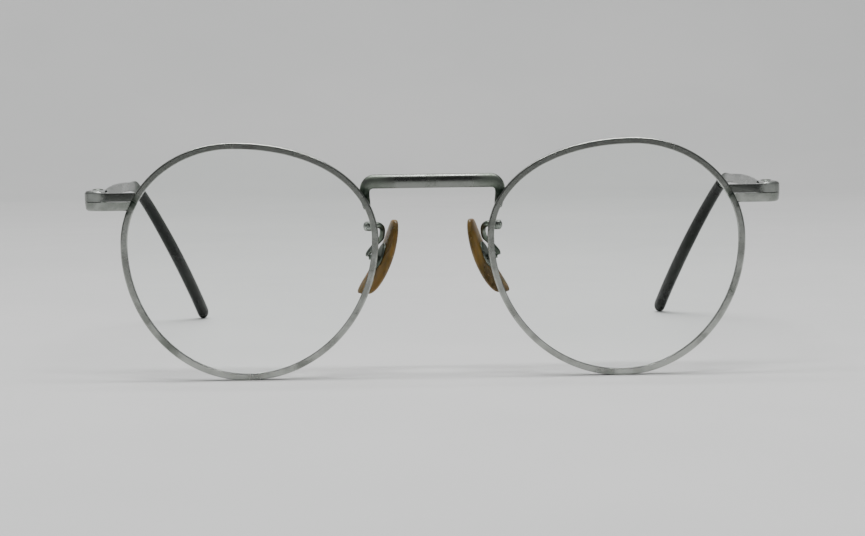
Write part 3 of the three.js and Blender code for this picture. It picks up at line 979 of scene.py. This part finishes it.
def make_pads():
    """A blunt bean of plastic, a little wider at the bottom, that leans and twists with the nose."""
    half_high = (PAD_HIGH.z - PAD_LOW.z) / 2
    half_wide = (PAD_HIGH.y - PAD_LOW.y) / 2 * 0.95
    narrowing = 0.08
    nose_thickness = 0.98
    back_thickness = 0.9
    rows = 26
    rings = []
    for row in range(rows + 1):
        turn = math.pi * (0.015 + 0.97 * row / rows)
        high = -half_high * math.cos(turn)
        reach = math.sin(turn) ** 0.42
        width = half_wide * reach * (1.0 - narrowing * high / half_high)
        ring = []
        for a, b in oval(1.0, 1.0, 28, 2.3):
            thick = a * (nose_thickness if a < 0 else back_thickness) * reach
            ring.append(place_on_pad(thick, b * width, high))
        rings.append(ring)
    shell = Shell()
    shell.rings(rings)
    dress_pair(shell.finish("nose_pad_left_piece", 60), "nose_pad", AMBER_PLASTIC, "pad")


def make_pad_plates():
    """An oval plate bent to the pad's back, with a stem and a lug that is bored for the pin."""
    inner = 0.95
    outer = 1.28
    edge = 0.06
    outline = oval(1.5, 2.6, 44)
    levels = [(inner, 0.1), (inner, 0.4), (inner, 0.7), (inner, 1.0), (outer - edge, 1.0)]
    levels += [(outer - 0.02, 0.985), (outer, 0.96), (outer, 0.7), (outer, 0.4), (outer, 0.1)]
    rings = []
    for thick, part in levels:
        rings.append([place_on_pad(thick, wide * part, high * part) for wide, high in outline])
    shell = Shell()
    shell.rings(rings)
    bore = PIN_RADIUS + RUNNING_GAP
    tube = rounded_corners([(bore, -0.4), (LUG_RADIUS, -0.4), (LUG_RADIUS, 0.4), (bore, 0.4)], 0.04, 3)
    turned(shell, tube, PIN, (0, 1, 0), 36)
    stem_low = (PAD.x + outer - 0.1, PIN.y - 0.38, PIN.z - 0.3)
    stem_high = (PIN.x - bore - 0.05, PIN.y + 0.38, PIN.z + 0.3)
    shell.box(stem_low, stem_high, 0.04)
    dress_pair(shell.finish("pad_plate_left_piece"), "pad_plate", ARM_METAL, "pad")


def make_pad_pins():
    """The pin that each pad rocks on, with chamfered ends."""
    half = (PIN_HIGH.y - PIN_LOW.y) / 2
    edge = 0.04
    profile = [
        (0.01, -half),
        (PIN_RADIUS - edge, -half),
        (PIN_RADIUS, edge - half),
        (PIN_RADIUS, half - edge),
        (PIN_RADIUS - edge, half),
        (0.01, half),
    ]
    shell = Shell()
    turned(shell, profile, PIN, (0, 1, 0))
    dress_pair(shell.finish("pad_pin_left_piece"), "pad_pin", WORN_METAL)


def make_pad_arms():
    """A stub behind the rim, a hook that tapers towards the pad, and a claw that holds the pin."""

    def wire_section(fraction):
        """As wide all along, and thinner towards the claw."""
        return oval(0.6, 0.58 - 0.13 * fraction, 20, 2.2)

    shell = Shell()
    stub = [Vector((10.6, STUB_Y, STUB_Z)), Vector((ARM_HIGH.x, STUB_Y, STUB_Z))]
    stub_section = oval(STUB_RADIUS, STUB_RADIUS, 28, 2.2)
    sweep(shell, stations(stub, 6, 0.3, 0.6), lambda _: stub_section, Vector((0, 1, 0)))
    route = smooth_route(
        [
            Vector((11.6, STUB_Y, STUB_Z)),
            Vector((10.2, STUB_Y + 0.2, STUB_Z + 0.2)),
            Vector((9.43, FRONT_Y + 3.4, STUB_Z - 0.5)),
            Vector((9.56, FRONT_Y + 4.6, STUB_Z - 2.2)),
            Vector((10.42, PAD.y - 0.1, PAD.z + 2.7)),
            Vector((PIN.x + 0.82, PAD.y, PAD.z + 0.85)),
            Vector((PIN.x + 0.98, PAD.y, PAD.z + 0.05)),
        ]
    )
    sweep(shell, stations(route, 60, 0.3, 0.2), wire_section, Vector((0, 1, 0)))
    for wall in (-0.6, 0.6):
        low = (PIN.x - 0.3, PIN.y + wall - 0.14, PIN.z - 0.45)
        high = (PIN.x + 0.85, PIN.y + wall + 0.14, PIN.z + 0.45)
        shell.box(low, high, 0.06)
    back_low = (PIN.x + 0.5, PIN.y - 0.52, PIN.z - 0.43)
    back_high = (PIN.x + 0.83, PIN.y + 0.52, PIN.z + 0.43)
    shell.box(back_low, back_high, 0.04)
    dress_pair(shell.finish("pad_arm_left_piece"), "pad_arm", ARM_METAL)


# ---- table, light and camera ----


def make_stage():
    """A pale table that curves up into a wall far behind and ends a little behind the camera."""
    profile = [(-620, 0), (-300, 0), (0, 0), (300, 0)]
    for step in range(1, 17):
        turn = math.radians(90 * step / 16)
        profile.append((700 + 500 * math.sin(turn), 500 - 500 * math.cos(turn)))
    profile.append((1200, 1600))
    shell = Shell()
    rows = [[shell.mesh.verts.new((x, y, z - 0.02)) for y, z in profile] for x in (-1500, -500, 500, 1500)]
    for one, two in zip(rows, rows[1:]):
        for i in range(len(profile) - 1):
            shell.mesh.faces.new((one[i], two[i], two[i + 1], one[i + 1]))
    table = shell.finish("table_and_wall", 60)
    surface = Surface("pale_table")
    surface.set(IOR=1.4, Specular_IOR_Level=0.2)
    cloud = surface.noise(180.0, 3.0)
    colour = surface.mix(surface.span(cloud, 0.3, 0.7), (0.60, 0.605, 0.60), (0.635, 0.635, 0.63))
    surface.into("Base Color", colour)
    surface.into("Roughness", surface.span(surface.noise(25.0), 0.3, 0.7, 0.55, 0.7))
    table.data.materials.append(surface.material)


def make_world():
    """A grey room that is dark only straight ahead of the glasses, low down, where the camera stands."""
    world = bpy.data.worlds.new("studio")
    bpy.context.scene.world = world
    world.use_nodes = True
    nodes, links = world.node_tree.nodes, world.node_tree.links
    sky = nodes["Background"]
    direction = nodes.new("ShaderNodeTexCoord").outputs["Generated"]
    away = nodes.new("ShaderNodeVectorMath")
    away.operation = "DISTANCE"
    away.inputs[1].default_value = ROOM_DARK_SIDE
    links.new(direction, away.inputs[0])
    fade = nodes.new("ShaderNodeMapRange")
    fade.interpolation_type = "SMOOTHSTEP"
    for key, number in zip(RANGE_SOCKETS, (*ROOM_FADE, ROOM_DARK, ROOM_LIGHT)):
        fade.inputs[key].default_value = number
    links.new(away.outputs["Value"], fade.inputs["Value"])
    links.new(fade.outputs["Result"], sky.inputs["Strength"])
    sky.inputs["Color"].default_value = (0.97, 0.99, 1.0, 1.0)


def make_lights():
    """Three softboxes: over the glasses, in front of them and on the wall behind."""

    def softbox(name, place, aim, width, depth, power):
        lamp = bpy.data.lights.new(name, "AREA")
        lamp.shape = "RECTANGLE"
        lamp.size = width * MM
        lamp.size_y = depth * MM
        lamp.energy = power
        holder = bpy.data.objects.new(name, lamp)
        holder.location = Vector(place) * MM
        holder.rotation_euler = (Vector(aim) - Vector(place)).to_track_quat("-Z", "Y").to_euler()
        bpy.context.scene.collection.objects.link(holder)

    softbox("overhead_softbox", (0, -70, 1000), (0, 0, 0), 900, 170, 8.7)
    softbox("front_softbox", (0, -470, 900), (0, 200, 0), 600, 120, 6.0)
    softbox("wall_softbox", (-220, 500, 1500), (-220, 1150, 450), 1300, 300, 9.8)


def make_camera():
    """A long lens a little above the glasses, looking slightly down."""
    cy, sy = math.cos(CAMERA_YAW), math.sin(CAMERA_YAW)
    cp, sp = math.cos(CAMERA_PITCH), math.sin(CAMERA_PITCH)
    cr, sr = math.cos(CAMERA_ROLL), math.sin(CAMERA_ROLL)
    yaw = Matrix(((cy, -sy, 0), (sy, cy, 0), (0, 0, 1)))
    pitch = Matrix(((1, 0, 0), (0, cp, -sp), (0, sp, cp)))
    roll = Matrix(((cr, 0, sr), (0, 1, 0), (-sr, 0, cr)))
    axes = yaw @ pitch @ roll
    right, forward, up = axes.col[0], axes.col[1], axes.col[2]
    data = bpy.data.cameras.new("camera")
    data.lens = CAMERA_LENS
    data.sensor_width = 36.0
    data.clip_start = 0.01
    data.clip_end = 20.0
    camera = bpy.data.objects.new("camera", data)
    turn = Matrix((right, up, -forward)).transposed()
    camera.matrix_world = Matrix.Translation(CAMERA_PLACE * MM) @ turn.to_4x4()
    bpy.context.scene.collection.objects.link(camera)
    bpy.context.scene.camera = camera


make_rims()
make_lenses()
make_bridge()
make_endpieces()
make_temples()
make_tips()
make_pads()
make_pad_plates()
make_pad_pins()
make_pad_arms()
make_stage()
make_world()
make_lights()
make_camera()
